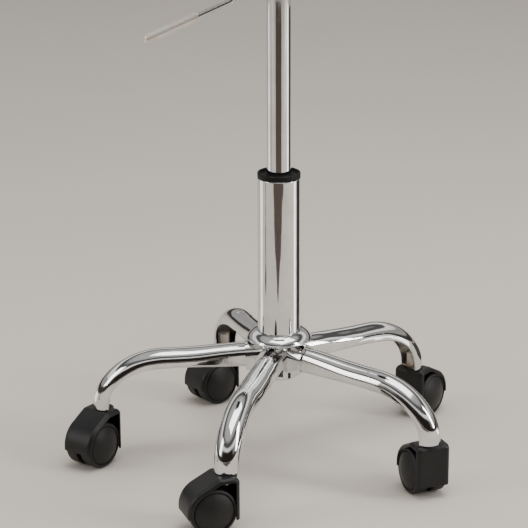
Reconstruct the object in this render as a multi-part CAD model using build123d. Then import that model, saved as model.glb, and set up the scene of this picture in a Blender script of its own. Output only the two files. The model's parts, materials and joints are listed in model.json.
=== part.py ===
from build123d import *
from math import asin, atan2, cos, degrees, radians, sin, sqrt, tan
import os

# Pedestal of a gas-lift swivel stool.  +Z is up, the origin is on the column
# axis at floor level, and -Y is the front.  All sizes are in millimetres.

# fits and clearances
running_fit = 0.06       # radial gap of a turning or sliding fit
press_gap = 0.02         # radial gap between pieces that are pressed together
free_gap = 0.4           # gap between neighbours that move past each other

# star base
leg_count = 5
first_leg_angle = -34.4  # azimuth of leg 1
caster_radius = 209.7    # column axis to caster stem axis
leg_fall = 2.5           # slope of the straight stretch, degrees
leg_bend_reach = 78.0    # how far the bend's centreline runs outwards
leg_bend_drop = 58.0     # how far it falls
leg_wall = 2.0
leg_root_width = 27.0
leg_root_height = 26.0
leg_mid_width = 30.0
leg_mid_height = 21.0
leg_bend_width = 31.0
leg_bend_height = 16.6
leg_tip_width = 29.0
leg_tip_height = 18.5
leg_slot_start = 58.0    # radius where the slot in the underside begins
leg_slot_width = 6.0
leg_tip_offset = 1.5     # centreline at the tip, outside the stem axis
leg_tip_drop = 4.0       # short vertical stretch under the bend

# hub
hub_rise = 28.46         # from the legs' centreline up to the hub's top
hub_height = 39.7
hub_core_radius = 23.4
hub_dome_radius = 38.5
hub_dome_drop = 9.0
socket_wall = 3.0
socket_reach = 40.0      # radius of the leg sockets' outer faces

# column and gas lift
column_radius = 25.0
column_wall = 2.0
column_length = 186.0    # above the hub
spigot_radius = 21.9     # at the hub's top
spigot_taper = 0.8       # degrees a side
spigot_wall = 2.2
foot_cap_height = 17.7
foot_cap_floor = 2.6
bushing_flange = 6.2
bushing_length = 60.0
tube_radius = 14.0
tube_wall = 1.8
lift_stroke = 160.0
tube_overlap = 50.3      # tube length still inside the column at full height
tube_length = 313.0
tube_taper_length = 40.0
rod_radius = 5.0
rod_end_radius = 4.0

# seat mechanism
socket_height = 29.0
taper_socket_wall = 4.0
seat_plate_gap = 13.0    # from the tube's end up to the seat plate
seat_plate_size = 170.0
seat_plate_thickness = 3.0
seat_hole_radius = 4.25
seat_hole_spacing = 130.0
channel_length = 90.0
channel_width = 56.0
channel_depth = 36.0
channel_wall = 2.5
lever_rod_radius = 3.75
lever_tip_x = 5.0        # the rod's inner end, just past the release pin's axis
lever_pivot_arm = 36.0
lever_pin_radius = 2.5
button_radius = 4.0
button_drop = 4.4
lever_grip_radius = 5.0
lever_drop = 62.65       # from the pivot down to the elbow
lever_neck = 40.2        # from the elbow out to the grip
lever_slope = 24.5       # degrees below level
grip_length = 68.5

# casters
wheel_radius = 27.5
wheel_width = 16.0       # tread width of one wheel
wheel_gap = 7.0          # between the two wheels' inner faces
wheel_dome = 5.5         # how far each disc bulges past its tread
wheel_shoulder = 3.0     # rounding of the tread's outer edge
gate_radius = 1.2        # small flat at the middle of each disc
caster_trail = 20.0
hood_gap = 1.2           # between the wheels and the hood
hood_wall = 1.8
hood_rear = 10.5         # rear wall behind the stem axis
hood_seat_rise = 10.8    # the hood's seat above the wheels' tops
hood_seat_gap = 1.2      # between the hood's seat and the leg's tip
hood_rear_bottom = 16.0
axle_radius = 3.0
stem_radius = 5.5
stem_socket_radius = 7.6
stem_seat_depth = 13.0   # stem length inside the hood
stem_rise = 17.0         # stem length above the hood's seat
caster_turns = [112.0, 54.0, 220.0, 234.0, 200.0]  # azimuth of each trail

os.makedirs("parts", exist_ok=True)


def save(name, shape):
    export_step(shape, f"parts/{name}.step")


def revolve_outline(points):
    """Turn a closed (radius, height) outline round the Z axis."""
    outline = Plane.XZ * make_face(Polyline(*points, close=True))
    return revolve(outline, Axis.Z)


def ring(inner, outer, bottom, top):
    """A plain round ring, or a disc where inner is 0."""
    body = Pos(0, 0, bottom) * extrude(Circle(outer), top - bottom)
    if inner > 0:
        body -= Pos(0, 0, bottom - 1) * extrude(Circle(inner), top - bottom + 2)
    return body


# ---------------------------------------------------------------- legs

# The centreline falls gently, then turns down round the bend to the caster.
hood_radius = wheel_radius + hood_gap + hood_wall
hood_seat_z = 2 * wheel_radius + hood_seat_rise
leg_tip_z = hood_seat_z + hood_seat_gap
leg_tip_r = caster_radius + leg_tip_offset
bend_centre_r = leg_tip_r - leg_bend_reach
bend_centre_z = leg_tip_z + leg_tip_drop
tangent_turn = degrees(atan2(leg_bend_drop, leg_bend_reach * tan(radians(leg_fall))))
tangent_r = bend_centre_r + leg_bend_reach * cos(radians(tangent_turn))
tangent_z = bend_centre_z + leg_bend_drop * sin(radians(tangent_turn))
leg_root_r = hub_core_radius + 1.2
leg_stub_r = socket_reach + 2.0
leg_root_z = tangent_z + (tangent_r - leg_root_r) * tan(radians(leg_fall))

# Heights up the column, each from the piece below it.
hub_top = leg_root_z + hub_rise
hub_bottom = hub_top - hub_height
foot_cap_bottom = hub_bottom - foot_cap_height
column_top = hub_top + column_length
tube_bottom = column_top - tube_overlap
tube_top = tube_bottom + tube_length
socket_bottom = tube_top - tube_taper_length
plate_bottom = tube_top + seat_plate_gap


def straight_frame(radius):
    """Plane across the straight stretch, its normal pointing to the tip."""
    height = tangent_z + (tangent_r - radius) * tan(radians(leg_fall))
    along = (cos(radians(leg_fall)), 0, -sin(radians(leg_fall)))
    return Plane(origin=(radius, 0, height), x_dir=(0, 1, 0), z_dir=along)


def bend_frame(turn):
    """Plane across the bend, a quarter ellipse that ends upright at turn 0."""
    out, up = cos(radians(turn)), sin(radians(turn))
    point = (bend_centre_r + leg_bend_reach * out, 0, bend_centre_z + leg_bend_drop * up)
    return Plane(origin=point, x_dir=(0, 1, 0), z_dir=(leg_bend_reach * up, 0, -leg_bend_drop * out))


def tip_frame(height):
    """Plane across the short vertical end."""
    return Plane(origin=(leg_tip_r, 0, height), x_dir=(0, 1, 0), z_dir=(0, 0, -1))


def arch(width, height, inset=0.0, floor=0.0):
    """Arched section: straight sides under a half round, on its own centre."""
    half = width / 2 - inset
    low = -height / 2 + floor
    spring = height / 2 - width / 2
    top = height / 2 - inset
    edges = [
        Line((-half, spring), (-half, low)),
        Line((-half, low), (half, low)),
        Line((half, low), (half, spring)),
        ThreePointArc((half, spring), (0, top), (-half, spring)),
    ]
    return make_face(edges)


def blend(low, high, share):
    """Smooth step from one value to another as the share goes from 0 to 1."""
    share = min(max(share, 0.0), 1.0)
    return low + (high - low) * share * share * (3 - 2 * share)


def leg_stations():
    """Frames from the hub to the tip, with the section's width and height."""
    stations = []
    straight_steps = 5
    for step in range(straight_steps):
        share = step / straight_steps
        radius = leg_stub_r + (tangent_r - leg_stub_r) * share
        width = blend(leg_root_width, leg_mid_width, share * 1.6)
        height = blend(leg_root_height, leg_mid_height, share * 1.3)
        stations.append((straight_frame(radius), width, height))
    bend_steps = 6
    for step in range(bend_steps + 1):
        share = step / bend_steps
        width = blend(leg_mid_width, leg_bend_width, share * 1.6)
        width += blend(0, leg_tip_width - leg_bend_width, share * 2 - 1)
        height = blend(leg_mid_height, leg_bend_height, share * 1.6)
        height += blend(0, leg_tip_height - leg_bend_height, share * 2 - 1)
        stations.append((bend_frame(tangent_turn * (1 - share)), width, height))
    stations.append((tip_frame(leg_tip_z), leg_tip_width, leg_tip_height))
    return stations


def leg_loft(stations, inset, floor):
    """Loft of the arched section through the stations."""
    return loft([frame * arch(w, h, inset, floor) for frame, w, h in stations])


def leg_stub(start, end, width, height):
    """Straight stretch of the arched section between two radii."""
    length = (end - start) / cos(radians(leg_fall))
    return extrude(straight_frame(start) * arch(width, height), length)


def floor_band():
    """Region kept closed under the straight stretch, apart from its slot."""
    inner_half = leg_mid_width / 2 - leg_wall
    end_r = tangent_r - 14
    half_start = leg_slot_width / 2
    outline = make_face(Polyline(
        (leg_root_r, -leg_mid_width), (end_r, -leg_mid_width), (end_r, -inner_half),
        (leg_slot_start, -half_start), (leg_slot_start, half_start), (end_r, inner_half),
        (end_r, leg_mid_width), (leg_root_r, leg_mid_width), close=True))
    outline -= Pos(leg_slot_start, 0) * Circle(half_start)
    low_frame = straight_frame(leg_root_r)
    low_end = straight_frame(end_r)
    floor_rise = (leg_root_height - leg_mid_height) / 2
    side = make_face(Polyline(
        (leg_root_r, low_frame.origin.Z - leg_root_height), (end_r, low_end.origin.Z - leg_root_height),
        (end_r, low_end.origin.Z - leg_root_height / 2 + floor_rise + leg_wall),
        (leg_stub_r + 40, low_frame.origin.Z - leg_root_height / 2 + leg_wall),
        (leg_root_r, low_frame.origin.Z - leg_root_height / 2 + leg_wall), close=True))
    slab = extrude(Plane.XZ * side, leg_mid_width, both=True)
    column = Pos(0, 0, leg_tip_z) * extrude(outline, tangent_z - leg_tip_z)
    return slab & column


def make_leg():
    outer = leg_stub(leg_root_r, leg_stub_r, leg_root_width, leg_root_height)
    outer += leg_loft(leg_stations(), 0, 0)
    inside = leg_loft(leg_stations(), leg_wall, -3.0)
    inside += extrude(
        straight_frame(leg_root_r - 1) * arch(leg_root_width, leg_root_height, leg_wall, -3.0),
        leg_stub_r - leg_root_r + 1.02)
    inside += extrude(tip_frame(leg_tip_z) * arch(leg_tip_width, leg_tip_height, leg_wall, -3.0), 3)
    return outer - (inside - floor_band())


def make_stem_socket(leg):
    """Tube that holds a caster's stem, on an end plate, welded inside the leg's tip."""
    top = hood_seat_z + stem_rise + 3.0
    tube = ring(0, stem_socket_radius, leg_tip_z, top)
    plate_face = tip_frame(leg_tip_z) * arch(leg_tip_width, leg_tip_height, leg_wall / 2, 1.0)
    plate = extrude(plate_face, -2.0)
    bore = ring(0, stem_radius + running_fit, leg_tip_z - 1, top - 2)
    spot = Pos(caster_radius, 0, 0)
    return (spot * tube) + plate - leg - (spot * bore)


# ---------------------------------------------------------------- hub and column

def spigot_radius_at(height):
    return spigot_radius - (hub_top - height) * tan(radians(spigot_taper))


def make_hub():
    """Domed cap over a core tube, with a socket round each leg's end."""
    rim_z = hub_top - hub_dome_drop
    groove = column_radius + 1.6
    profile = Plane.XZ * make_face([
        Line((0, hub_bottom), (hub_core_radius, hub_bottom)),
        Line((hub_core_radius, hub_bottom), (hub_core_radius, rim_z - 8)),
        ThreePointArc((hub_core_radius, rim_z - 8), (hub_core_radius + 3.2, rim_z - 3.6),
                      (hub_dome_radius - 0.8, rim_z - 1.6)),
        ThreePointArc((hub_dome_radius - 0.8, rim_z - 1.6), (hub_dome_radius, rim_z - 0.6),
                      (hub_dome_radius - 0.5, rim_z + 0.5)),
        ThreePointArc((hub_dome_radius - 0.5, rim_z + 0.5), (33.5, hub_top - 3.2), (groove, hub_top)),
        Line((groove, hub_top), (groove - 0.9, hub_top - 1.2)),
        Line((groove - 0.9, hub_top - 1.2), (column_radius - 0.8, hub_top - 1.2)),
        Line((column_radius - 0.8, hub_top - 1.2), (column_radius - 0.8, hub_top)),
        Line((column_radius - 0.8, hub_top), (0, hub_top)),
        Line((0, hub_top), (0, hub_bottom)),
    ])
    hub = revolve(profile, Axis.Z)
    wide = leg_root_width + 2 * socket_wall
    tall = leg_root_height + 2 * socket_wall
    boss = leg_stub(leg_root_r - 8, socket_reach, wide, tall)
    pocket = leg_stub(leg_root_r, socket_reach + 5,
                      leg_root_width + 2 * press_gap, leg_root_height + 2 * press_gap)
    for index in range(leg_count):
        hub += Rot(0, 0, leg_angle(index)) * boss
    for index in range(leg_count):
        hub -= Rot(0, 0, leg_angle(index)) * pocket
    above = spigot_radius_at(hub_top + 1) + press_gap
    below = spigot_radius_at(hub_bottom - 1) + press_gap
    hub -= revolve_outline([(0, hub_bottom - 1), (below, hub_bottom - 1), (above, hub_top + 1), (0, hub_top + 1)])
    return hub - ring(0, hub_core_radius + free_gap, hub_bottom - 30, hub_bottom)


floor_plate_bottom = foot_cap_bottom + foot_cap_floor
floor_plate_top = floor_plate_bottom + 3.0


def make_column_tube():
    """Sleeve with a tapered spigot that stands in the hub on its shoulder."""
    low = spigot_radius_at(floor_plate_bottom)
    return revolve_outline([
        (rod_end_radius + running_fit, floor_plate_bottom), (low, floor_plate_bottom),
        (spigot_radius, hub_top), (column_radius, hub_top), (column_radius, column_top),
        (column_radius - column_wall, column_top), (column_radius - column_wall, hub_top + 6),
        (low - spigot_wall, hub_top + 2), (low - spigot_wall, floor_plate_top),
        (rod_end_radius + running_fit, floor_plate_top)])


def make_foot_cap():
    """Rounded cap over the spigot's lower end, with a hole for the rod's clip."""
    outer = hub_core_radius
    top = hub_bottom - 0.2
    cap = ring(9.5, outer, foot_cap_bottom, top)
    cap -= ring(0, spigot_radius_at(floor_plate_bottom) + press_gap, floor_plate_bottom, top + 1)
    cap -= revolve_outline([
        (0, floor_plate_bottom), (spigot_radius_at(floor_plate_bottom) + press_gap, floor_plate_bottom),
        (spigot_radius_at(top) + press_gap, top), (0, top)])
    lower_edge = cap.edges().filter_by(GeomType.CIRCLE).group_by(Axis.Z)[0].sort_by(SortBy.RADIUS)[-1]
    return fillet(lower_edge, 3.0)


def make_guide_bushing():
    """Guide sleeve inside the column, with a dished flange on its top."""
    inner = tube_radius + running_fit
    top = column_top + bushing_flange
    body = column_radius - column_wall - press_gap
    relief = inner + 2.5
    low = column_top - bushing_length
    return revolve_outline([
        (inner, low), (body, low), (body, column_top), (column_radius, column_top),
        (column_radius, top - 1.4), (column_radius - 1.4, top), (column_radius - 4.0, top),
        (column_radius - 6.0, top - 2.2), (inner + 1.5, top - 3.6), (inner, top - 5.0),
        (inner, column_top - 12), (relief, column_top - 14), (relief, low + 14), (inner, low + 12)])


# ---------------------------------------------------------------- gas lift

race_bottom = floor_plate_top
race_height = 2.0
ball_radius = 1.8
ball_zone = 2 * ball_radius + free_gap / 2
upper_race_bottom = race_bottom + race_height + ball_zone
rod_shoulder = upper_race_bottom + race_height
bumper_height = 14.0
piston_bottom = tube_bottom + 32.0
piston_height = 16.0
tube_bore = tube_radius - tube_wall


def make_bearing_balls():
    """Balls in their cage, on the lower race."""
    count = 10
    middle = race_bottom + race_height + ball_radius
    cage = ring(6.2, 15.0, middle - 0.6, middle + 0.6)
    balls = []
    for index in range(count):
        place = Rot(0, 0, 360 / count * index) * Pos(10.6, 0, middle)
        cage -= place * Sphere(ball_radius + 0.15)
        balls.append(place * Sphere(ball_radius))
    return Compound(children=[*cage.solids(), *[ball.solid() for ball in balls]])


def make_piston_rod():
    rod_end = foot_cap_bottom + 0.8
    rod_top = piston_bottom + piston_height + 4
    rod = ring(0, rod_end_radius, rod_end, rod_shoulder)
    rod += ring(0, rod_radius, rod_shoulder, piston_bottom)
    rod += ring(0, rod_end_radius, piston_bottom, rod_top)
    groove = ring(rod_end_radius - 0.8, rod_end_radius + 1, clip_bottom, clip_top)
    return rod - groove


clip_top = floor_plate_bottom - free_gap / 2
clip_bottom = clip_top - 1.0


def make_rod_clip():
    """Open retaining clip in the rod's groove, under the column's floor."""
    clip = ring(rod_end_radius - 0.8, rod_end_radius + 4, clip_bottom, clip_top)
    return clip - Pos(6, 0, clip_bottom) * Box(12, 4.5, 4)


def make_piston():
    groove_low = piston_bottom + 5
    groove_top = piston_bottom + 11
    outer = tube_bore - free_gap
    return revolve_outline([
        (rod_end_radius, piston_bottom), (outer, piston_bottom), (outer, groove_low),
        (outer - 3, groove_low), (outer - 3, groove_top), (outer, groove_top),
        (outer, piston_bottom + piston_height), (rod_end_radius, piston_bottom + piston_height)])


def make_pressure_tube():
    """Chrome tube with a rolled-in foot and a tapered top end."""
    taper_drop = (tube_top - socket_bottom) * tan(radians(1.4))
    return revolve_outline([
        (rod_radius + 3, tube_bottom), (tube_radius - 1, tube_bottom), (tube_radius, tube_bottom + 1),
        (tube_radius, socket_bottom), (tube_radius - taper_drop, tube_top - 1),
        (tube_radius - taper_drop - 1, tube_top), (button_radius + 1.5, tube_top),
        (button_radius + 1.5, tube_top - 2), (tube_bore - taper_drop, tube_top - 2),
        (tube_bore, socket_bottom - 2), (tube_bore, tube_bottom + 1.6), (rod_radius + 3, tube_bottom + 1.6)])


def make_rod_guide():
    low = tube_bottom + 1.6
    return ring(rod_radius + running_fit, tube_bore - press_gap, low, low + 22)


def make_valve_body():
    """Plug in the tube's top that guides the release pin."""
    taper_drop = (tube_top - socket_bottom) * tan(radians(1.4))
    outer = tube_bore - taper_drop - 0.1
    low = socket_bottom + 8
    body = ring(0, outer, low, tube_top - 2)
    return body - ring(0, button_radius + running_fit, low + 10, tube_top)


# ---------------------------------------------------------------- seat mechanism

channel_bottom = plate_bottom - channel_depth
button_top = tube_top + 3.0
lever_axis_z = button_top + free_gap + lever_rod_radius


def make_taper_socket():
    """Flared tube that is welded through the channel's floor."""
    top = socket_bottom + socket_height
    outer = tube_radius + taper_socket_wall
    bore_low = tube_radius + press_gap
    bore_top = tube_radius - (top - socket_bottom) * tan(radians(1.4)) + press_gap
    return revolve_outline([
        (bore_low, socket_bottom), (outer - 1, socket_bottom), (outer, socket_bottom + 1),
        (outer, top), (bore_top, top)])


def make_channel():
    """Open-ended box under the seat plate that holds the socket and the pivot."""
    box = Pos(0, 0, channel_bottom + channel_depth / 2) * Box(channel_length, channel_width, channel_depth)
    inside = Pos(0, 0, channel_bottom + channel_wall + channel_depth / 2) * Box(
        channel_length + 2, channel_width - 2 * channel_wall, channel_depth)
    flange = Pos(0, 0, plate_bottom - channel_wall / 2) * Box(channel_length, channel_width + 24, channel_wall)
    flange -= Pos(0, 0, plate_bottom - 1) * Box(channel_length + 2, channel_width - 2 * channel_wall, 8)
    channel = box - inside + flange
    channel -= ring(0, tube_radius + taper_socket_wall + press_gap, channel_bottom - 1, channel_bottom + channel_wall + 1)
    pin_hole = Rot(90, 0, 0) * Cylinder(lever_pin_radius + press_gap, channel_width + 4)
    return channel - Pos(-lever_pivot_arm, 0, lever_axis_z) * pin_hole


def make_seat_plate():
    plate = Pos(0, 0, plate_bottom) * extrude(RectangleRounded(seat_plate_size, seat_plate_size, 18),
                                              seat_plate_thickness)
    holes = GridLocations(seat_hole_spacing, seat_hole_spacing, 2, 2) * Circle(seat_hole_radius)
    centre = Circle(14)
    cut = Pos(0, 0, plate_bottom - 1) * extrude(Sketch() + holes + centre, seat_plate_thickness + 2)
    return plate - cut


def make_lever_pin():
    pin = Rot(90, 0, 0) * Cylinder(lever_pin_radius, channel_width + 3)
    heads = [Pos(0, side * (channel_width / 2 + 1.2), 0) * Rot(90, 0, 0) * Cylinder(3.2, 2.0)
             for side in (-1, 1)]
    return Pos(-lever_pivot_arm, 0, lever_axis_z) * (pin + heads[0] + heads[1])


# Places along the lever, and their heights.
lever_elbow = (-channel_length / 2 - 5.0, lever_axis_z - lever_drop)
grip_start = (lever_elbow[0] - lever_neck, lever_elbow[1] - lever_neck * tan(radians(lever_slope)))
grip_end = (grip_start[0] - grip_length * cos(radians(lever_slope)),
            grip_start[1] - grip_length * sin(radians(lever_slope)))


def make_lever_rod():
    """Bent rod: over the button, out of the channel, down and out to the grip."""
    slope = ((grip_end[0] - grip_start[0]), (grip_end[1] - grip_start[1]))
    inner = (grip_start[0] + 0.86 * slope[0], grip_start[1] + 0.86 * slope[1])
    points = [(lever_tip_x, 0, lever_axis_z), (lever_elbow[0], 0, lever_axis_z), (lever_elbow[0], 0, lever_elbow[1]),
              (inner[0], 0, inner[1])]
    path = FilletPolyline(*points, radius=9)
    section = Plane(origin=points[0], z_dir=(-1, 0, 0)) * Circle(lever_rod_radius)
    rod = sweep(section, path=path)
    lug = Pos(-lever_pivot_arm, 0, lever_axis_z) * Rot(90, 0, 0) * Cylinder(lever_rod_radius + 1.4, 14.0)
    hole = Pos(-lever_pivot_arm, 0, lever_axis_z) * Rot(90, 0, 0) * Cylinder(
        lever_pin_radius + running_fit, 20.0)
    return rod + lug - hole


def make_lever_grip():
    """Round grip with a domed end over the rod's outer end."""
    run = (grip_end[0] - grip_start[0], grip_end[1] - grip_start[1])
    length = sqrt(run[0] ** 2 + run[1] ** 2)
    along = (run[0] / length, 0, run[1] / length)
    frame = Plane(origin=(grip_start[0], 0, grip_start[1]), z_dir=along)
    straight = length - lever_grip_radius
    outer = Pos(0, 0, straight / 2) * Cylinder(lever_grip_radius, straight)
    outer += Pos(0, 0, straight) * Sphere(lever_grip_radius)
    bore = Pos(0, 0, 0.86 * length / 2 - 1) * Cylinder(lever_rod_radius + press_gap, 0.86 * length + 2)
    return frame * (outer - bore)


def make_release_button():
    pin_low = socket_bottom + 8 + 10 + button_drop + 2
    body = ring(0, button_radius, pin_low, button_top)
    top_edge = body.edges().filter_by(GeomType.CIRCLE).sort_by(Axis.Z)[-1]
    return fillet(top_edge, 1.0)


# ---------------------------------------------------------------- casters

def make_hood():
    """Hood over both wheels, with a web between them and a seat for the leg."""
    half_width = wheel_gap / 2 + wheel_width + 1.2
    axle = (caster_trail, wheel_radius)
    disc = Pos(*axle) * Circle(hood_radius)
    seat_front = 13.0
    seat_block = make_face(Polyline(
        (-hood_rear, hood_rear_bottom), (-hood_rear, hood_seat_z), (seat_front, hood_seat_z),
        (caster_trail + 4, wheel_radius + hood_radius * 0.96), (caster_trail, wheel_radius),
        (caster_trail, hood_rear_bottom), close=True))
    below = make_face(Polyline(
        (-hood_rear - 5, -20), (-hood_rear - 5, hood_rear_bottom), (axle[0], hood_rear_bottom - 4),
        (axle[0] + hood_radius + 5, wheel_radius - 4), (axle[0] + hood_radius + 5, -20), close=True))
    side = disc + seat_block - below
    hood = extrude(Plane.XZ * side, half_width, both=True)
    long_edges = hood.edges().filter_by(lambda e: abs(abs(e.center().Y) - half_width) < 1e-3)
    hood = fillet(long_edges.filter_by(lambda e: e.center().Z > hood_seat_z - 1), 2.5)
    pocket_side = Pos(*axle) * Circle(hood_radius - hood_wall)
    pocket_side += make_face(Polyline(
        (-hood_rear + hood_wall, 0), (-hood_rear + hood_wall, wheel_radius + 12),
        (caster_trail, wheel_radius + 12), (caster_trail + 26, 0), close=True))
    for side_sign in (-1, 1):
        y_mid = side_sign * (wheel_gap / 2 - 1.0 + half_width)
        pocket = extrude(Plane.XZ * pocket_side, half_width, both=True)
        hood -= Pos(0, y_mid, 0) * pocket
    axle_hole = Pos(axle[0], 0, axle[1]) * Rot(90, 0, 0) * Cylinder(axle_radius + press_gap, 20)
    dish = Pos(0, 0, hood_seat_z - 0.8) * extrude(Circle(leg_tip_height / 2 + 0.6), 3)
    stem_low = hood_seat_z - stem_seat_depth
    stem_hole = ring(0, stem_radius + press_gap, stem_low, hood_seat_z + 1)
    boss = ring(0, stem_radius + 3.4, stem_low - 3, hood_seat_z - 1.5)
    wheel_zone = Pos(axle[0], 0, axle[1]) * Rot(90, 0, 0) * Cylinder(wheel_radius + 0.9, 80)
    return hood + (boss - wheel_zone) - axle_hole - dish - stem_hole


def make_stem():
    """Steel stem with a thrust collar and a ring near its top."""
    low = hood_seat_z - stem_seat_depth
    top = hood_seat_z + stem_rise
    stem = ring(0, stem_radius, low, top)
    stem += ring(0, stem_radius + 2.6, hood_seat_z - 0.8, hood_seat_z + 0.6)
    groove = ring(stem_radius - 0.7, stem_radius + 1, top - 6, top - 4)
    return stem - groove


def make_axle():
    length = wheel_gap + 2 * (wheel_width - 1)
    return Pos(caster_trail, 0, wheel_radius) * Rot(90, 0, 0) * Cylinder(axle_radius, length)


def rounded_corner(start, end, centre):
    """Quarter round between two points about a centre."""
    radius = sqrt((start[0] - centre[0]) ** 2 + (start[1] - centre[1]) ** 2)
    chord = ((start[0] + end[0]) / 2 - centre[0], (start[1] + end[1]) / 2 - centre[1])
    scale = radius / sqrt(chord[0] ** 2 + chord[1] ** 2)
    return ThreePointArc(start, (centre[0] + chord[0] * scale, centre[1] + chord[1] * scale), end)


def make_wheel(side):
    """One wheel: rounded tread, bevelled rim, groove and a domed disc."""
    inner = wheel_gap / 2
    outer = inner + wheel_width
    bore = axle_radius + running_fit
    bore_end = inner + wheel_width - 0.5
    groove_r = wheel_radius - wheel_shoulder - 0.4
    disc_r = groove_r - 1.0
    disc_z = outer - 0.2
    rise = outer + wheel_dome - disc_z
    crown = (disc_r ** 2 + rise ** 2) / (2 * rise)
    gate_z = outer + wheel_dome - (crown - sqrt(crown ** 2 - gate_radius ** 2))
    middle = disc_r / 2
    middle_z = outer + wheel_dome - (crown - sqrt(crown ** 2 - middle ** 2))
    profile = make_face([
        Line((bore, inner), (wheel_radius - 2, inner)),
        rounded_corner((wheel_radius - 2, inner), (wheel_radius, inner + 2), (wheel_radius - 2, inner + 2)),
        Line((wheel_radius, inner + 2), (wheel_radius, outer - wheel_shoulder)),
        rounded_corner((wheel_radius, outer - wheel_shoulder), (wheel_radius - wheel_shoulder, outer),
                       (wheel_radius - wheel_shoulder, outer - wheel_shoulder)),
        Line((wheel_radius - wheel_shoulder, outer), (groove_r, outer - 1.2)),
        Line((groove_r, outer - 1.2), (disc_r, disc_z)),
        ThreePointArc((disc_r, disc_z), (middle, middle_z), (gate_radius, gate_z)),
        Line((gate_radius, gate_z), (0, gate_z)),
        Line((0, gate_z), (0, bore_end)),
        Line((0, bore_end), (bore, bore_end)),
        Line((bore, bore_end), (bore, inner)),
    ])
    wheel = revolve(Plane.XY * profile, Axis.Y)
    hollow = ring(7.5, wheel_radius - 4, 0, wheel_width - 6)
    wheel -= Pos(0, inner - 1, 0) * Rot(-90, 0, 0) * hollow
    if side < 0:
        wheel = mirror(wheel, about=Plane.XZ)
    return Pos(caster_trail, 0, wheel_radius) * wheel


# ---------------------------------------------------------------- placing and export

def leg_angle(index):
    return first_leg_angle + 360 / leg_count * index


def caster_place(index):
    """Place of a caster: at its leg's tip, turned to its own azimuth."""
    azimuth = radians(leg_angle(index))
    spot = Pos(caster_radius * cos(azimuth), caster_radius * sin(azimuth), 0)
    return spot * Rot(0, 0, caster_turns[index])


save("hub", make_hub())
save("column_tube", make_column_tube())
save("foot_cap", make_foot_cap())
save("guide_bushing", make_guide_bushing())
save("bearing_lower_race", ring(rod_end_radius + 0.5, 15.0, race_bottom, race_bottom + race_height))
save("bearing_balls", make_bearing_balls())
save("bearing_upper_race", ring(rod_end_radius, 15.0, upper_race_bottom, rod_shoulder))
save("piston_rod", make_piston_rod())
save("rod_clip", make_rod_clip())
save("bump_stop", ring(rod_radius, 10.5, rod_shoulder, rod_shoulder + bumper_height))
save("piston", make_piston())
save("piston_seal", ring(tube_bore - free_gap - 3, tube_bore - running_fit,
                         piston_bottom + 5, piston_bottom + 11))
save("pressure_tube", make_pressure_tube())
save("rod_guide", make_rod_guide())
save("valve_body", make_valve_body())

mechanism = {
    "taper_socket": make_taper_socket(),
    "mechanism_channel": make_channel(),
    "seat_plate": make_seat_plate(),
    "lever_pin": make_lever_pin(),
    "lever_rod": make_lever_rod(),
    "lever_grip": make_lever_grip(),
    "release_button": make_release_button(),
}
for name, piece in mechanism.items():
    save(name, piece)

leg = make_leg()
stem_socket = make_stem_socket(leg)
hood = make_hood()
stem = make_stem()
axle = make_axle()
wheels = {"left": make_wheel(1), "right": make_wheel(-1)}
for index in range(leg_count):
    turn = Rot(0, 0, leg_angle(index))
    place = caster_place(index)
    number = index + 1
    save(f"leg_{number}", turn * leg)
    save(f"stem_socket_{number}", turn * stem_socket)
    save(f"caster_hood_{number}", place * hood)
    save(f"caster_stem_{number}", place * stem)
    save(f"caster_axle_{number}", place * axle)
    for side, wheel in wheels.items():
        save(f"wheel_{side}_{number}", place * wheel)
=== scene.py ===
import json
import math
import bpy
import numpy as np
from mathutils import Matrix, Vector


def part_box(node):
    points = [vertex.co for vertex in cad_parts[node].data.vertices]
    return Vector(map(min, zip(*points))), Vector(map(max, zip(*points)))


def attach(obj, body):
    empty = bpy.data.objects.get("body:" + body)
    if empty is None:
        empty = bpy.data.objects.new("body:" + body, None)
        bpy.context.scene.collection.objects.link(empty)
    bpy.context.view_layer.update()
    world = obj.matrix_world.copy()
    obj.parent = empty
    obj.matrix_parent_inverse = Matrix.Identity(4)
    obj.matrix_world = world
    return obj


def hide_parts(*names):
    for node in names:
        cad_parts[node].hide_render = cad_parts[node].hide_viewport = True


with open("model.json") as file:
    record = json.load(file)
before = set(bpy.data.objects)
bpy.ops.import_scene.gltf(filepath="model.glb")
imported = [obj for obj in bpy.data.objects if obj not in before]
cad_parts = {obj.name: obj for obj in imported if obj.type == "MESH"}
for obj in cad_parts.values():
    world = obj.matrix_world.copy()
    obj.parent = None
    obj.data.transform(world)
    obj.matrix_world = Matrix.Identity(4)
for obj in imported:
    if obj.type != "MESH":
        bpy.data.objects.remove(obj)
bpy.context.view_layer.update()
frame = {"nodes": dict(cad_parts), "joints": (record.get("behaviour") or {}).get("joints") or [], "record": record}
print("frame loaded:", len(frame["nodes"]), "nodes")


# ---- shader helpers: a socket that can be added and multiplied, and a way to make a node
class Wire:
    # one output socket of a tree; a sum, difference or product of it is a new math node
    def __init__(self, tree, socket):
        self.tree = tree
        self.socket = socket

    def math(self, operation, other, swapped=False):
        a, b = (other, self) if swapped else (self, other)
        return self.tree.make("ShaderNodeMath", {"operation": operation}, [a, b])

    def __add__(self, other): return self.math("ADD", other)
    def __radd__(self, other): return self.math("ADD", other, True)
    def __sub__(self, other): return self.math("SUBTRACT", other)
    def __mul__(self, other): return self.math("MULTIPLY", other)


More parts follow.
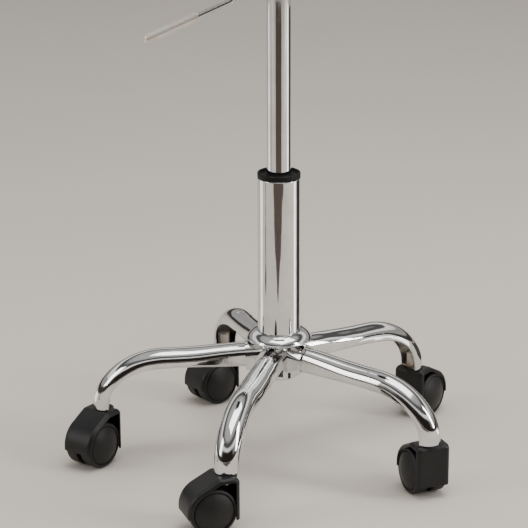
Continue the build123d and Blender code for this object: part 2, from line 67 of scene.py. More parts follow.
class Tree:
    # the nodes of one material, with its principled shader at the end
    def __init__(self, material):
        self.nodes = material.node_tree.nodes
        self.links = material.node_tree.links
        self.shader = next(n for n in self.nodes if n.type == "BSDF_PRINCIPLED")

    def put(self, socket, value):
        # a wire is linked to the socket, a plain value becomes its default
        if isinstance(value, Wire):
            self.links.new(value.socket, socket)
        elif value is not None:
            socket.default_value = value

    def make(self, kind, settings=None, values=None, output=0):
        # a new node with its settings and inputs filled, given back as one of its outputs
        node = self.nodes.new(kind)
        for name, value in (settings or {}).items():
            setattr(node, name, value)
        pairs = values.items() if isinstance(values, dict) else enumerate(values or [])
        for key, value in pairs:
            self.put(node.inputs[key], value)
        return Wire(self, node.outputs[output])

    def coords(self):
        # the place on the object, in metres
        return self.make("ShaderNodeTexCoord", output=3)

    def noise(self, scale, detail=3.0, rough=0.5, stretch=(1, 1, 1)):
        # noise of the object's place times the stretch, at the scale given
        place = self.make("ShaderNodeMapping", None, {"Vector": self.coords(), "Scale": stretch})
        return self.make("ShaderNodeTexNoise", None,
                         {"Vector": place, "Scale": scale, "Detail": detail, "Roughness": rough})

    def mix(self, factor, first, second):
        # first colour where the factor is 0, second where it is 1
        return self.make("ShaderNodeMix", {"data_type": "RGBA"}, {0: factor, 6: first, 7: second}, 2)

    def step(self, value, low, high):
        # 0 below low, 1 above high, an S curve between
        return self.make("ShaderNodeMapRange", {"interpolation_type": "SMOOTHSTEP"},
                         {0: value, 1: low, 2: high, 3: 0.0, 4: 1.0})

    def bump(self, height, distance):
        # the shader's normal leans with the slope of height times distance
        normal = self.make("ShaderNodeBump", None,
                           {"Height": height, "Distance": distance, "Strength": 1.0})
        self.put(self.shader.inputs["Normal"], normal)

    def set(self, **values):
        # short names for the shader's inputs
        names = {"colour": "Base Color", "rough": "Roughness", "metal": "Metallic",
                 "coat": "Coat Weight", "specular": "Specular IOR Level"}
        for name, value in values.items():
            self.put(self.shader.inputs[names[name]], value)


def newMaterial(name):
    # an empty principled material and its tree
    material = bpy.data.materials.new(name)
    material.use_nodes = True
    return material, Tree(material)


# ---- finishes
def chromeFinish(name, look):
    # plated metal: a slow waviness under fine polishing lines, and a haze of handling marks
    material, t = newMaterial(name)
    haze = t.noise(look["hazeScale"], *look["hazeNoise"])
    lines = t.noise(look["lineScale"], *look["lineNoise"], look["lineStretch"])
    specks = t.step(t.noise(look["speckScale"], *look["lineNoise"]), *look["speckRange"])
    tint = t.mix(t.step(haze, *look["dullRange"]), look["light"], look["dull"])
    colour = t.mix(specks * look["speckShare"], tint, look["speckColour"])
    rough = look["rough"] + t.step(haze, *look["hazeRange"]) * look["hazeRough"]
    rough = rough + specks * look["speckRough"]
    t.set(colour=colour, metal=1.0, rough=rough + (lines - 0.5) * look["lineRough"])
    wave = t.noise(look["waveScale"], *look["waveNoise"])
    t.bump(wave + lines * look["lineDepth"], look["waveDepth"])
    return material


# a Noise entry is the detail and roughness of that noise, a Range where it starts and ends
tubeChrome = {"light": (0.73, 0.735, 0.75, 1), "dull": (0.65, 0.65, 0.655, 1), "rough": 0.045,
              "dullRange": (0.35, 0.7),
              "hazeScale": 38.0, "hazeNoise": (4.0, 0.6), "hazeRange": (0.45, 0.8),
              "hazeRough": 0.07,
              "lineScale": 60.0, "lineNoise": (2.0, 0.5), "lineStretch": (9, 9, 0.6),
              "lineRough": 0.03, "lineDepth": 0.02,
              "speckScale": 900.0, "speckRange": (0.66, 0.74), "speckShare": 0.5,
              "speckColour": (0.30, 0.27, 0.24, 1), "speckRough": 0.12,
              "waveScale": 14.0, "waveNoise": (1.0, 0.4), "waveDepth": 0.0008}
legChrome = dict(tubeChrome, light=(0.76, 0.765, 0.775, 1), dull=(0.64, 0.64, 0.64, 1),
                 rough=0.055, hazeScale=24.0, waveScale=22.0, waveDepth=0.0016,
                 lineStretch=(3, 3, 3))
hubChrome = dict(legChrome, rough=0.10, waveScale=34.0, waveDepth=0.0014)
rodChrome = dict(tubeChrome, light=(0.74, 0.745, 0.76, 1), rough=0.035)


def blackNylon(name, look):
    # moulded black plastic: fine spark texture, faint flow marks and dust
    material, t = newMaterial(name)
    flow = t.noise(look["flowScale"], *look["flowNoise"])
    dust = t.step(t.noise(look["dustScale"], *look["dustNoise"]), *look["dustRange"]) * look["dust"]
    colour = t.mix(t.step(flow, *look["flowRange"]), look["deep"], look["grey"])
    t.set(colour=t.mix(dust, colour, look["dustColour"]),
          rough=look["rough"] + flow * look["flowRough"], specular=look["specular"])
    t.bump(t.noise(look["grainScale"], *look["grainNoise"]), look["grain"])
    return material


hoodLook = {"deep": (0.004, 0.004, 0.0045, 1), "grey": (0.010, 0.010, 0.011, 1),
            "rough": 0.32, "specular": 0.34,
            "flowScale": 26.0, "flowNoise": (3.0, 0.5), "flowRange": (0.3, 0.75), "flowRough": 0.16,
            "dustScale": 420.0, "dustNoise": (3.0, 0.6), "dustRange": (0.60, 0.78), "dust": 0.04,
            "dustColour": (0.22, 0.20, 0.18, 1),
            "grainScale": 2600.0, "grainNoise": (2.0, 0.6), "grain": 0.00012}
wheelLook = dict(hoodLook, deep=(0.005, 0.005, 0.0055, 1), grey=(0.013, 0.013, 0.0135, 1),
                 rough=0.36, dust=0.05)
bushingLook = dict(hoodLook, rough=0.50, specular=0.2, grain=0.00006, dust=0.05)
rubberLook = dict(hoodLook, rough=0.62, specular=0.3, dust=0.3)


def steelFinish(name, look):
    # plain steel: brushed grain, darker heat tint in patches
    material, t = newMaterial(name)
    grain = t.noise(look["grainScale"], *look["grainNoise"], look["stretch"])
    patch = t.step(t.noise(look["patchScale"], *look["patchNoise"]), *look["patchRange"])
    colour = t.mix(patch, look["light"], look["tint"])
    t.set(colour=colour, metal=1.0, rough=look["rough"] + grain * look["grainRough"])
    t.bump(grain, look["grainDepth"])
    return material


weldLook = {"light": (0.50, 0.47, 0.43, 1), "tint": (0.27, 0.22, 0.17, 1),
            "rough": 0.34, "stretch": (1, 1, 6),
            "grainScale": 90.0, "grainNoise": (3.0, 0.6), "grainRough": 0.2, "grainDepth": 0.0002,
            "patchScale": 60.0, "patchNoise": (3.0, 0.5), "patchRange": (0.42, 0.70)}
pinLook = dict(weldLook, light=(0.62, 0.61, 0.58, 1), tint=(0.44, 0.42, 0.38, 1),
               rough=0.24, stretch=(8, 8, 1))
alloyLook = dict(weldLook, light=(0.66, 0.66, 0.65, 1), tint=(0.52, 0.52, 0.51, 1),
                 rough=0.30, stretch=(6, 6, 1))


def powderCoat(name, look):
    # powder-coated steel: orange peel in gloss and height, with chips of primer on it
    material, t = newMaterial(name)
    peel = t.noise(look["peelScale"], *look["peelNoise"])
    chips = t.step(t.noise(look["chipScale"], *look["chipNoise"]), *look["chipRange"])
    t.set(colour=t.mix(chips, look["coat"], look["primer"]),
          rough=look["rough"] + peel * look["peelRough"], specular=look["specular"])
    t.bump(peel - chips * look["chipDepth"], look["peelDepth"])
    return material


coatLook = {"coat": (0.017, 0.017, 0.018, 1), "primer": (0.16, 0.15, 0.14, 1),
            "rough": 0.34, "specular": 0.5,
            "peelScale": 700.0, "peelNoise": (2.0, 0.5), "peelRough": 0.22, "peelDepth": 0.00025,
            "chipScale": 130.0, "chipNoise": (5.0, 0.7), "chipRange": (0.70, 0.735),
            "chipDepth": 0.6}


def gripPlastic(name, look):
    # pale satin sleeve: soft mottling and a trace of grime
    material, t = newMaterial(name)
    mottle = t.noise(look["mottleScale"], *look["softNoise"])
    grime = t.step(t.noise(look["grimeScale"], *look["softNoise"]), *look["grimeRange"])
    colour = t.mix(t.step(mottle, *look["mottleRange"]), look["light"], look["warm"])
    t.set(colour=t.mix(grime * look["grimeShare"], colour, look["grimeColour"]),
          rough=look["rough"] + mottle * look["mottleRough"], metal=look["metal"],
          coat=look["coat"])
    t.bump(mottle, look["mottleDepth"])
    return material


gripLook = {"light": (0.86, 0.81, 0.75, 1), "warm": (0.74, 0.68, 0.61, 1),
            "rough": 0.20, "metal": 0.55, "coat": 0.3, "softNoise": (4.0, 0.6),
            "mottleScale": 70.0, "mottleRange": (0.3, 0.7), "mottleRough": 0.10,
            "mottleDepth": 0.0002,
            "grimeScale": 210.0, "grimeRange": (0.58, 0.76), "grimeShare": 0.25,
            "grimeColour": (0.30, 0.25, 0.20, 1)}

finishes = {
    "chrome_legs": chromeFinish("legChrome", legChrome),
    "chrome_hub": chromeFinish("hubChrome", hubChrome),
    "chrome_column": chromeFinish("tubeChrome", tubeChrome),
    "chrome_rod": chromeFinish("rodChrome", rodChrome),
    "lever_rod": chromeFinish("leverChrome", dict(rodChrome, rough=0.12)),
    "caster_hood": blackNylon("hoodNylon", hoodLook),
    "caster_wheel": blackNylon("wheelNylon", wheelLook),
    "black_bushing": blackNylon("bushingAcetal", bushingLook),
    "rubber": blackNylon("bumperRubber", rubberLook),
    "weld_steel": steelFinish("weldedSteel", weldLook),
    "pin_steel": steelFinish("pinSteel", pinLook),
    "lift_parts": steelFinish("turnedAlloy", alloyLook),
    "black_steel": powderCoat("blackPowder", coatLook),
    "lever_grip": gripPlastic("gripSleeve", gripLook),
}
nodeSlot = {part["node"]: part["material_slot"] for part in frame["record"]["subparts"]}
for node, holder in frame["nodes"].items():
    for place in holder.material_slots:
        place.material = finishes[nodeSlot[node]]
print("finishes:", len(finishes))


# ---- mesh helpers
sharpAngle = 38.0


def putMesh(name, points, faces):
    # a mesh from point and face arrays, turned outwards by the sign of its volume
    corners = points[faces]
    middle = corners.mean(axis=1)
    spread = np.cross(corners[:, 2] - corners[:, 0], corners[:, 3] - corners[:, 1])
    if float((middle * spread).sum()) < 0:
        faces = faces[:, ::-1]
    mesh = bpy.data.meshes.new(name)
    mesh.from_pydata(points.tolist(), [], faces.tolist())
    mesh.validate()
    mesh.polygons.foreach_set("use_smooth", np.ones(len(mesh.polygons), dtype=bool))
    mesh.set_sharp_from_angle(angle=math.radians(sharpAngle))
    piece = bpy.data.objects.new(name, mesh)
    bpy.context.collection.objects.link(piece)
    return piece


def finish(piece, slot, body, *nodes):
    # material, slot and body of a piece, and the nodes that it stands in for
    piece.data.materials.append(finishes[slot])
    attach(piece, body)
    if nodes:
        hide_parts(*nodes)


def gridFaces(rows, columns, wrapRows=False, wrapColumns=True):
    # quads of a grid of points, closed round either way
    r = np.arange(rows if wrapRows else rows - 1)[:, None]
    c = np.arange(columns if wrapColumns else columns - 1)[None, :]
    r2, c2 = (r + 1) % rows, (c + 1) % columns
    quads = [r * columns + c, r * columns + c2, r2 * columns + c2, r2 * columns + c]
    return np.stack([np.broadcast_to(q, (r.size, c.size)).ravel() for q in quads], axis=1)


def endCaps(rows, columns):
    # quads from the outer to the inner skin, across both ends of a loop of skins
    half = columns // 2
    i = np.arange(half - 1)
    quads = np.stack([i, i + 1, columns - 2 - i, columns - 1 - i], axis=1)
    return np.concatenate([quads[:, ::-1], quads + (rows - 1) * columns])


def arcPoints(centre, radius, start, end, count):
    # points at equal angles round a centre
    angle = np.radians(np.linspace(start, end, count))
    return np.stack([centre[0] + radius * np.cos(angle), centre[1] + radius * np.sin(angle)], axis=1)


def roundedLine(corners, radii, steps=9):
    # straight runs between corners, each corner cut by an arc that touches both runs
    corners = [np.array(c, float) for c in corners]
    parts = [corners[0][None]]
    for before, corner, after, radius in zip(corners, corners[1:], corners[2:], radii):
        a = (before - corner) / np.linalg.norm(before - corner)
        b = (after - corner) / np.linalg.norm(after - corner)
        half = math.acos(float(np.clip(a @ b, -1, 1))) / 2
        reach = radius / math.tan(half)
        share = np.linspace(0, 1, steps)[:, None]
        first, last = corner + a * reach, corner + b * reach
        centre = corner + (a + b) / np.linalg.norm(a + b) * radius / math.sin(half)
        spoke = (first - centre) * (1 - share) + (last - centre) * share
        parts.append(centre + spoke / np.linalg.norm(spoke, axis=1)[:, None] * radius)
    parts.append(corners[-1][None])
    return np.concatenate(parts)


def evenly(line, count):
    # the same line with its points at equal distances
    length = np.concatenate([[0], np.cumsum(np.linalg.norm(np.diff(line, axis=0), axis=1))])
    place = np.linspace(0, length[-1], count)
    return np.stack([np.interp(place, length, line[:, k]) for k in range(2)], axis=1)


def turnedPoints(profile, segments):
    # an outline of radius and height carried round the Z axis
    angle = np.linspace(0, 2 * np.pi, segments, endpoint=False)[:, None]
    r, z = profile[:, 0][None], profile[:, 1][None]
    return np.stack([r * np.cos(angle), r * np.sin(angle), z + 0 * angle], axis=2)


def turnedPiece(name, profile, segments):
    # a closed outline of radius and height, turned round the Z axis
    points = turnedPoints(profile, segments)
    return putMesh(name, points.reshape(-1, 3), gridFaces(segments, len(profile), wrapRows=True))


def azimuthTurn(points, degrees, place=(0, 0)):
    # turn about Z, then move
    a = math.radians(degrees)
    x, y, z = points[..., 0], points[..., 1], points[..., 2]
    return np.stack([x * math.cos(a) - y * math.sin(a) + place[0],
                     x * math.sin(a) + y * math.cos(a) + place[1], z], axis=-1)


# ---- legs: an arched channel of sheet, pressed along a line that bends down to the caster
joints = {joint["name"]: joint for joint in frame["joints"]}
numbers = range(1, 6)
# width and height are at the root, mid run, bend and tip; a Rate is how fast a change runs along
# the line, and the counts are points on the flange, corner, side and arch
legShape = {"wall": 0.002, "tipOffset": 0.0015, "reach": 0.078, "drop": 0.058, "fall": 2.5,
            "tipDrop": 0.004, "rootR": 0.0248, "stubR": 0.042, "slotStart": 0.058,
            "slotWidth": 0.006, "slotOpening": 0.085, "corner": 0.0035, "cornerShare": 0.9,
            "width": (0.027, 0.030, 0.031, 0.029), "height": (0.026, 0.021, 0.0166, 0.0185),
            "bendRate": 1.6, "heightRate": 1.3, "closeRate": 2.2, "closeStart": 0.7,
            "leastLip": 0.04, "leastSide": 0.0004, "leastCorner": 0.0002,
            "stations": 56, "tipStations": 4, "counts": (5, 5, 4, 25)}


def smooth(share):
    # three times the share squared, less twice its cube, held between 0 and 1
    share = np.clip(share, 0, 1)
    return share * share * (3 - 2 * share)


def legLine(look, stemR, tipZ, count):
    # the centreline: a falling straight run, a quarter ellipse that starts at the run's slope, and
    # an upright end; the share runs 0 to 1 along the run and 1 to 2 round the bend
    reach, drop, slope = look["reach"], look["drop"], math.tan(math.radians(look["fall"]))
    centreR = stemR + look["tipOffset"] - reach
    centreZ = tipZ + look["tipDrop"]
    first = math.atan2(drop, reach * slope)
    tangentR = centreR + reach * math.cos(first)
    tangentZ = centreZ + drop * math.sin(first)
    run = np.linspace(look["rootR"], tangentR, count)
    straight = np.stack([run, tangentZ + (tangentR - run) * slope,
                         np.full(count, math.radians(90 - look["fall"]))], axis=1)
    turn = np.linspace(first, 0, count)[1:]
    bend = np.stack([centreR + reach * np.cos(turn), centreZ + drop * np.sin(turn),
                     np.arctan2(reach * np.sin(turn), drop * np.cos(turn))], axis=1)
    ends = look["tipStations"]
    low = np.linspace(centreZ, tipZ, ends + 1)[1:]
    tip = np.stack([np.full(ends, centreR + reach), low, np.zeros(ends)], axis=1)
    share = np.concatenate([(run - look["stubR"]) / (tangentR - look["stubR"]), 2 - turn / first,
                            np.full(ends, 2.0)])
    return np.concatenate([straight, bend, tip]), share


def channelSide(half, low, spring, corner, slotHalf, counts):
    # one way round the section: flange, rounded corner, side, arch, and the same back
    flange, turn, side, arch = counts
    f = np.linspace(0, 1, flange)[None]
    c = np.radians(np.linspace(270, 180, turn))[None]
    s = np.linspace(0, 1, side + 2)[None, 1:-1]
    a = np.radians(np.linspace(180, 90, arch))[None]
    u = np.concatenate([-slotHalf * (1 - f) - (half - corner) * f, -half + corner + corner * np.cos(c),
                        -half * np.ones_like(s), half * np.cos(a)], axis=1)
    v = np.concatenate([low * np.ones_like(f), low + corner + corner * np.sin(c),
                        (low + corner) * (1 - s) + spring * s, spring + half * np.sin(a)], axis=1)
    u = np.concatenate([u, -u[:, -2::-1]], axis=1)
    v = np.concatenate([v, v[:, -2::-1]], axis=1)
    return u, v


def legPoints(look, stemR, tipZ):
    # sections of the channel stood across the centreline; outer and inner skins as one closed loop
    line, share = legLine(look, stemR, tipZ, look["stations"])
    s = share[:, None]
    w, h, bend = look["width"], look["height"], look["bendRate"]
    toBend, toTip = smooth((s - 1) * bend), smooth((s - 1) * 2 - 1)
    width = w[0] + (w[1] - w[0]) * smooth(s * bend) + (w[2] - w[1]) * toBend
    width = width + (w[3] - w[2]) * toTip
    height = h[0] + (h[1] - h[0]) * smooth(s * look["heightRate"]) + (h[2] - h[1]) * toBend
    height = height + (h[3] - h[2]) * toTip
    wall = look["wall"]
    half, low = width / 2, -height / 2
    spring = height / 2 - half
    opened = smooth((line[:, :1] - look["slotStart"]) / look["slotOpening"])
    slotHalf = look["slotWidth"] / 2 * (1 - opened) + (half - wall) * opened
    closed = np.maximum(1 - smooth((s - look["closeStart"]) * look["closeRate"]), look["leastLip"])
    corner = np.minimum(look["corner"], (spring - low) * look["cornerShare"])
    corner = np.minimum(corner, half - slotHalf)
    counts = look["counts"]
    outer = channelSide(half, low, spring, corner, slotHalf, counts)
    innerLow = np.minimum(low + wall * closed, spring - look["leastSide"])
    innerCorner = np.minimum(corner - wall, (spring - innerLow) * look["cornerShare"])
    innerCorner = np.maximum(innerCorner, look["leastCorner"])
    inner = channelSide(half - wall, innerLow, spring, innerCorner,
                        np.minimum(slotHalf, half - wall - innerCorner), counts)
    u = np.concatenate([outer[0], inner[0][:, ::-1]], axis=1)
    v = np.concatenate([outer[1], inner[1][:, ::-1]], axis=1)
    angle = line[:, 2:3]
    return np.stack([line[:, :1] + v * np.cos(angle), u, line[:, 1:2] + v * np.sin(angle)], axis=2)


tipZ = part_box("leg_1")[0][2]
for number in numbers:
    stem = joints[f"caster_swivel_{number}"]["pos_m"]
    points = legPoints(legShape, math.hypot(stem[0], stem[1]), tipZ)
    rows, columns = points.shape[:2]
    faces = np.concatenate([gridFaces(rows, columns), endCaps(rows, columns)])
    turned = azimuthTurn(points, math.degrees(math.atan2(stem[1], stem[0])))
    finish(putMesh(f"pressedLeg{number}", turned.reshape(-1, 3), faces),
           "chrome_legs", "base", f"leg_{number}")
print("legs:", rows * columns, "points each")


# ---- column and bushing: turned outlines with rolled edges; a list holds pairs of radius and
# height, both from the corner that its name gives
columnShape = {"shoulder": 0.0548, "lip": 0.0006, "wall": 0.002, "innerStart": 0.006,
               "foot": [(0.0196, 0.0005), (0.0218, 0.0002), (0.0224, 0.0)],
               "sideCount": 60, "segments": 160}
bushingShape = {"height": 0.0062, "boreR": 0.0142, "plugR": 0.0228, "plugDepth": 0.004,
                "bottomRound": 0.0005, "topRound": 0.0009, "rim": 0.0018,
                "innerRim": (0.0020, 0.0005), "dish": [(0.0034, 0.0026), (0.0062, 0.0034)],
                "dishEnd": (0.0162, 0.0037), "throat": (0.0158, 0.0052), "throatRound": 0.0016,
                "segments": 128}


def columnOutline(look):
    # up the outside from the hub's shoulder to the rolled top, and down inside the wall
    low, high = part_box("column_tube")
    top, shoulder = high[2], low[2] + look["shoulder"]
    r, lip, count = high[0], look["lip"], look["sideCount"]
    side = np.linspace(shoulder + 2 * lip, top - 2 * lip, count)
    return np.concatenate([
        [(radius, shoulder + rise) for radius, rise in look["foot"]],
        arcPoints((r - lip, shoulder + lip), lip, -90, 0, 5),
        np.stack([np.full(count, r), side], axis=1),
        arcPoints((r - lip, top - lip), lip, 0, 90, 5),
        [(r - look["wall"], top), (r - look["wall"], shoulder + look["innerStart"])]])


def bushingOutline(look):
    # a plug in the tube, a collar over its edge, and a dish that falls to the bore
    r, _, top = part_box("guide_bushing")[1]
    bottom = top - look["height"]
    plugLow = bottom - look["plugDepth"]
    under, over, inner = look["bottomRound"], look["topRound"], look["innerRim"]
    end, throat = look["dishEnd"], look["throat"]
    return np.concatenate([
        [(look["boreR"], plugLow), (look["plugR"], plugLow), (look["plugR"], bottom)],
        arcPoints((r - under, bottom + under), under, -90, 0, 4),
        arcPoints((r - over, top - over), over, 0, 90, 8),
        [(r - look["rim"], top)],
        arcPoints((r - inner[0], top - inner[1]), inner[1], 80, 170, 4),
        [(r - inward, top - down) for inward, down in look["dish"]],
        [(end[0], top - end[1])],
        arcPoints((throat[0], top - throat[1]), look["throatRound"], 80, 180, 6)])


finish(turnedPiece("columnShell", columnOutline(columnShape), columnShape["segments"]),
       "chrome_column", "base", "column_tube")
finish(turnedPiece("columnBushing", bushingOutline(bushingShape), bushingShape["segments"]),
       "black_bushing", "base", "guide_bushing")
print("column and bushing")


# ---- casters: hood, wheels and the seat under the leg
casterShape = {"trail": 0.020, "wheelR": 0.0275, "wheelGap": 0.007, "wheelWidth": 0.016,
               "dome": 0.0055, "hoodR": 0.0305, "hoodWall": 0.0018, "rear": 0.0105,
               "seatZ": 0.0658, "seatFront": 0.0125, "rearBottom": 0.016, "halfWidth": 0.0207,
               "shoulder": 0.0050, "web": 0.005,
               "joinAngle": 66, "joinRun": 8, "frontAngle": -8,
               "hoodRounds": [0.0065, 0.007, 0.012], "hoodStations": 110, "wheelSegments": 112, "seatSegments": 72}


def hoodLine(look):
    # side view: up the rear wall, over the seat, down to the arc and round to the front edge
    axle = (look["trail"], look["wheelR"])
    joinAngle, rear = look["joinAngle"], -look["rear"]
    arcStart = joinAngle - look["joinRun"]
    join = arcPoints(axle, look["hoodR"], joinAngle, joinAngle, 1)[0]
    arc = arcPoints(axle, look["hoodR"], arcStart, look["frontAngle"], 40)
    up = roundedLine([(rear, look["rearBottom"]), (rear, look["seatZ"]),
                      (look["seatFront"], look["seatZ"]), join, arc[0]], look["hoodRounds"])
    return evenly(np.concatenate([up, arc[1:]]), look["hoodStations"])


def lineNormals(line):
    # outward unit normals of a line that runs clockwise round the hood
    step = np.gradient(line, axis=0)
    step /= np.linalg.norm(step, axis=1)[:, None]
    return np.stack([-step[:, 1], step[:, 0]], axis=1)


def hoodPoints(look):
    # a strip with rounded shoulders carried along the side view: outer and inner skins as one
    # closed loop
    line = hoodLine(look)
    normal = lineNormals(line)
    half, wall, shoulder = look["halfWidth"], look["hoodWall"], look["shoulder"]
    flat = np.linspace(-1, 1, 15)[1:-1]

    def skin(inset):
        right = arcPoints((half - shoulder, -shoulder), shoulder - inset, 90, 0, 9)
        crown = np.stack([flat * (half - shoulder), np.full(flat.size, -inset)], axis=1)
        return np.concatenate([right[::-1] * (-1, 1), crown, right])

    section = np.concatenate([skin(0.0), skin(wall)[::-1]])
    y, n = section[:, 0][None], section[:, 1][None]
    x = line[:, :1] + normal[:, :1] * n
    z = line[:, 1:] + normal[:, 1:] * n
    return np.stack([x, y + 0 * x, z], axis=2)


def wheelOutline(look):
    # half section of one wheel: radius from the axle, and distance out from its inner face; tread,
    # rounded edge, groove and a domed disc that is part of a sphere
    r, w = look["wheelR"], look["wheelWidth"]
    groove = r - 0.0038
    rise, disc = look["dome"] + 0.0004, groove - 0.0012
    crown = (disc ** 2 + rise ** 2) / (2 * rise)
    across = np.linspace(disc, 0.0, 26)
    domeTop = w + look["dome"] - (crown - np.sqrt(crown ** 2 - across ** 2))
    tread = np.linspace(0.0026, w - 0.0036, 9)
    return np.concatenate([
        [(0.0031, 0.0), (r - 0.0020, 0.0)],
        arcPoints((r - 0.0014, 0.0014), 0.0014, -80, -10, 5),
        np.stack([r - 0.00012 * ((tread - w / 2) / (w / 2)) ** 2, tread], axis=1),
        arcPoints((r - 0.0030, w - 0.0030), 0.0030, 4, 84, 9),
        [(groove + 0.0004, w - 0.0001), (groove + 0.0001, w - 0.0004), (groove, w - 0.0014),
         (groove - 0.0004, w - 0.0016), (groove - 0.0008, w - 0.0014), (groove - 0.0010, w - 0.0006)],
        np.stack([across, domeTop], axis=1)[:-1],
        [(0.00001, w + look["dome"]), (0.00001, 0.0155), (0.0031, 0.0155)]])


def wheelPoints(look, side):
    # the outline turned round the axle, which runs along Y
    outline = wheelOutline(look)
    angle = np.linspace(0, 2 * np.pi, look["wheelSegments"], endpoint=False)[:, None]
    r, out = outline[:, 0][None], outline[:, 1][None]
    y = side * (look["wheelGap"] / 2 + out) + 0 * angle
    return np.stack([look["trail"] + r * np.cos(angle), y, look["wheelR"] + r * np.sin(angle)], axis=2)


def plateMesh(outline, thickness):
    # a flat outline given thickness across Y, its two faces filled with rings that shrink to the
    # middle, where a hair-thin tube joins them
    middle = outline.mean(axis=0)
    shares = np.array([0.004, 0.97, 1.0, 1.0, 0.97, 0.004])
    y = np.array([1, 1, 0.9, -0.9, -1, -1]) * thickness / 2
    ring = middle + (outline[None] - middle) * shares[:, None, None]
    return np.stack([ring[:, :, 0], np.broadcast_to(y[:, None], ring.shape[:2]), ring[:, :, 1]], axis=2)


def webOutline(look):
    # the middle web: inside the hood's line, cut up clear of the floor
    hood = hoodLine(look) - lineNormals(hoodLine(look)) * look["hoodWall"] * 0.6
    low = roundedLine([hood[-1], (look["trail"] + 0.004, 0.0120),
                       (-look["rear"] + 0.002, 0.0165)], [0.010])
    return np.concatenate([hood, low[1:]])


def seatOutline(look):
    # a raised collar round the stem, dished towards it
    top = look["seatZ"]
    return np.concatenate([
        [(0.0086, top - 0.004), (0.0128, top - 0.004)],
        arcPoints((0.0118, top - 0.0008), 0.0008, 0, 90, 5) + [0.0004, 0.0003],
        arcPoints((0.0098, top - 0.0005), 0.0008, 90, 170, 5), [(0.0086, top - 0.0016)]])


for number in numbers:
    swivel = joints[f"caster_swivel_{number}"]["pos_m"]
    axle = joints[f"wheel_left_spin_{number}"]["pos_m"]
    trailTurn = math.degrees(math.atan2(axle[1] - swivel[1], axle[0] - swivel[0]))
    place = (swivel[0], swivel[1])
    body = f"caster_{number}"

    def put(name, points, faces, slot, rideOn, *nodes):
        # turned to this caster's trail, and moved to its stem
        turned = azimuthTurn(points, trailTurn, place).reshape(-1, 3)
        finish(putMesh(name, turned, faces), slot, rideOn, *nodes)

    strip = hoodPoints(casterShape)
    rows, columns = strip.shape[:2]
    stripFaces = np.concatenate([gridFaces(rows, columns), endCaps(rows, columns)])
    put(f"hoodShell{number}", strip, stripFaces, "caster_hood", body, f"caster_hood_{number}")
    web = plateMesh(webOutline(casterShape), casterShape["web"])
    put(f"hoodWeb{number}", web, gridFaces(*web.shape[:2], wrapRows=True),
        "caster_hood", body, f"caster_hood_{number}")
    collar = turnedPoints(seatOutline(casterShape), casterShape["seatSegments"])
    put(f"hoodSeat{number}", collar, gridFaces(*collar.shape[:2], wrapRows=True),
        "caster_hood", body, f"caster_hood_{number}")
    for side, sign in (("left", 1), ("right", -1)):
        wheel = wheelPoints(casterShape, sign)
        put(f"wheel{side.capitalize()}{number}", wheel, gridFaces(*wheel.shape[:2], wrapRows=True),
            "caster_wheel", f"wheel_{side}_{number}", f"wheel_{side}_{number}")
print("casters:", number, "with hoods and wheels")


# ---- camera
cameraPlace = {"away": 2.539, "height": 1.080, "pitch": 18.82, "roll": -0.05, "lens": 156.2,
               "shiftX": -0.0285, "shiftY": 0.0432}


def makeCamera(place):
    # turned by roll, then by the pitch down from level, then moved in front of the axis
    data = bpy.data.cameras.new("camera")
    data.sensor_width = 36.0
    data.lens = place["lens"]
    data.shift_x = place["shiftX"]
    data.shift_y = place["shiftY"]
    camera = bpy.data.objects.new("camera", data)
    camera.location = (0, -place["away"], place["height"])
    turn = math.radians(90 - place["pitch"])
    roll = Matrix.Rotation(math.radians(place["roll"]), 4, "Z")
    tilt = Matrix.Rotation(turn, 4, "X")
    camera.matrix_world = Matrix.Translation(camera.location) @ tilt @ roll
    bpy.context.collection.objects.link(camera)
    bpy.context.scene.camera = camera


makeCamera(cameraPlace)


# ---- floor and studio light
def makeFloor():
    # a square grid of points, flat at the floor's height; size is half its side
    size, count = 6.0, 24
    side = np.linspace(-size, size, count)
    x, y = np.meshgrid(side, side)
    points = np.stack([x.ravel(), y.ravel(), np.zeros(x.size)], axis=1)
    first = (np.arange(count - 1)[:, None] * count + np.arange(count - 1)[None, :]).ravel()
    faces = np.stack([first, first + 1, first + count + 1, first + count], axis=1)
    mesh = bpy.data.meshes.new("floor")
    mesh.from_pydata(points.tolist(), [], faces.tolist())
    floor = bpy.data.objects.new("floor", mesh)
    bpy.context.collection.objects.link(floor)
    material, t = newMaterial("paleFloor")
    shade = t.noise(1.2, 2.0, 0.5)
    t.set(colour=t.mix(shade, (0.62, 0.575, 0.52, 1), (0.68, 0.635, 0.58, 1)),
          rough=0.6 + shade * 0.1, specular=0.0)
    mesh.materials.append(material)


def makeLight(name, place, aim, size, power, colour):
    # a rectangle of light at its place, faced along the line to its aim
    data = bpy.data.lights.new(name, "AREA")
    data.shape = "RECTANGLE"
    data.size, data.size_y = size
    data.energy = power
    data.color = colour
    light = bpy.data.objects.new(name, data)
    light.location = place
    light.rotation_euler = (Vector(aim) - Vector(place)).to_track_quat("-Z", "Y").to_euler()
    bpy.context.collection.objects.link(light)


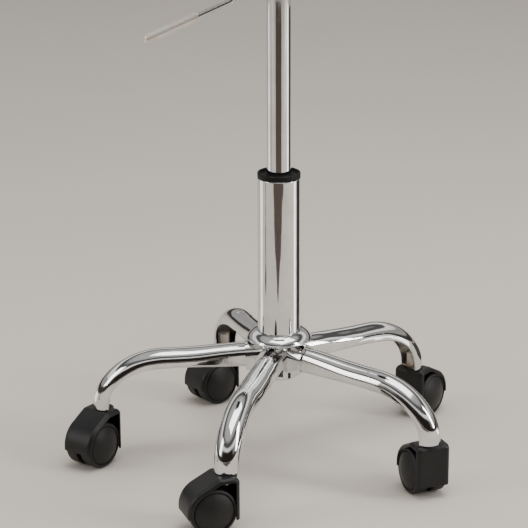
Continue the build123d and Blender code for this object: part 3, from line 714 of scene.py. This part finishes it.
def makeWorld():
    # a soft room in level bands: half the upward part of the direction, plus a half, picks the
    # colour, from dim at the horizon to pale, a bright window band and a dark beam
    world = bpy.data.worlds.new("studio")
    world.use_nodes = True
    nodes, links = world.node_tree.nodes, world.node_tree.links
    back = next(n for n in nodes if n.type == "BACKGROUND")
    place = nodes.new("ShaderNodeTexCoord")
    split = nodes.new("ShaderNodeSeparateXYZ")
    ramp = nodes.new("ShaderNodeValToRGB")
    below, window = (0.40, 0.37, 0.33, 1), (1.7, 1.68, 1.62, 1)
    stops = [(0.0, below), (0.49, below), (0.51, (0.06, 0.055, 0.05, 1)),
             (0.57, (0.08, 0.07, 0.065, 1)), (0.60, (0.62, 0.60, 0.57, 1)),
             (0.69, (0.50, 0.49, 0.47, 1)), (0.71, window), (0.78, window),
             (0.80, (0.16, 0.155, 0.15, 1)), (0.86, (0.14, 0.135, 0.13, 1)),
             (0.90, (0.72, 0.71, 0.69, 1)), (1.0, (0.85, 0.84, 0.82, 1))]
    while len(ramp.color_ramp.elements) < len(stops):
        ramp.color_ramp.elements.new(0.5)
    for stop, (at, colour) in zip(ramp.color_ramp.elements, stops):
        stop.position = at
        stop.color = colour
    half = nodes.new("ShaderNodeMath")
    half.operation = "MULTIPLY_ADD"
    half.inputs[1].default_value = 0.5
    half.inputs[2].default_value = 0.5
    links.new(place.outputs["Generated"], split.inputs[0])
    links.new(split.outputs[2], half.inputs[0])
    links.new(half.outputs[0], ramp.inputs[0])
    # the side behind the camera is unlit up to the window band
    front = nodes.new("ShaderNodeMapRange")
    level = nodes.new("ShaderNodeMapRange")
    both = nodes.new("ShaderNodeMath")
    shade = nodes.new("ShaderNodeMix")
    for node, source, low, high in ((front, 1, -0.45, -0.75), (level, 2, 0.52, 0.40)):
        node.interpolation_type = "SMOOTHSTEP"
        node.inputs[1].default_value = low
        node.inputs[2].default_value = high
        links.new(split.outputs[source], node.inputs[0])
    both.operation = "MULTIPLY"
    links.new(front.outputs[0], both.inputs[0])
    links.new(level.outputs[0], both.inputs[1])
    shade.data_type = "RGBA"
    shade.inputs[7].default_value = (0.035, 0.028, 0.024, 1)
    links.new(both.outputs[0], shade.inputs[0])
    links.new(ramp.outputs[0], shade.inputs[6])
    links.new(shade.outputs[2], back.inputs[0])
    back.inputs[1].default_value = 0.75
    bpy.context.scene.world = world


# fans just above the floor that only reflections see: stations of distance and two azimuths from
# the front, then colour and glow
reflectorFans = [
    ([(0.60, -8, -4), (0.80, -16, 6), (1.05, -28, 17), (1.15, -30, 24), (2.6, -30, 25)],
     (0.080, 0.056, 0.044), 0.0),
    ([(0.62, -76, -73), (0.68, -80, -71), (0.78, -77, -73), (2.6, -76, -73)],
     (0.012, 0.011, 0.010), 0.0),
    ([(0.46, 108, 140), (2.6, 108, 140)], (0.012, 0.011, 0.010), 0.0),
    ([(0.46, 86, 99), (2.6, 86, 99)], (1.0, 1.0, 1.0), 1.7),
    ([(0.46, -118, -96), (2.6, -118, -96)], (0.96, 0.98, 1.0), 0.8)]


def makeReflector(index, stations, colour, glow):
    # arcs of points at each station's distance, joined by quads; each fan lies a little higher
    across, lift, rise = 9, 0.0012, 0.0002
    rows = []
    for distance, start, end in stations:
        angle = np.radians(np.linspace(start, end, across))
        height = np.full(across, lift + rise * index)
        rows.append(np.stack([np.sin(angle) * distance, -np.cos(angle) * distance, height], axis=1))
    mesh = bpy.data.meshes.new(f"reflector{index}")
    faces = gridFaces(len(rows), across, wrapColumns=False)
    mesh.from_pydata(np.concatenate(rows).tolist(), [], faces.tolist())
    card = bpy.data.objects.new(f"reflector{index}", mesh)
    bpy.context.collection.objects.link(card)
    material, t = newMaterial(f"reflector{index}")
    t.set(colour=(*colour, 1), rough=0.9)
    t.put(t.shader.inputs["Emission Color"], (*colour, 1))
    t.put(t.shader.inputs["Emission Strength"], glow)
    mesh.materials.append(material)
    card.visible_camera = card.visible_diffuse = card.visible_shadow = False


makeFloor()
makeWorld()
for index, fan in enumerate(reflectorFans):
    makeReflector(index, *fan)
makeLight("overhead", (0.3, -0.2, 2.6), (0, 0, 0.2), (2.2, 1.6), 46, (1.0, 0.98, 0.95))
makeLight("windowRight", (2.3, -0.7, 1.2), (0, 0, 0.3), (0.5, 1.8), 34, (1.0, 0.99, 0.97))
makeLight("windowLeft", (-2.4, -1.0, 1.3), (0, 0, 0.3), (0.9, 1.6), 22, (1.0, 0.97, 0.93))
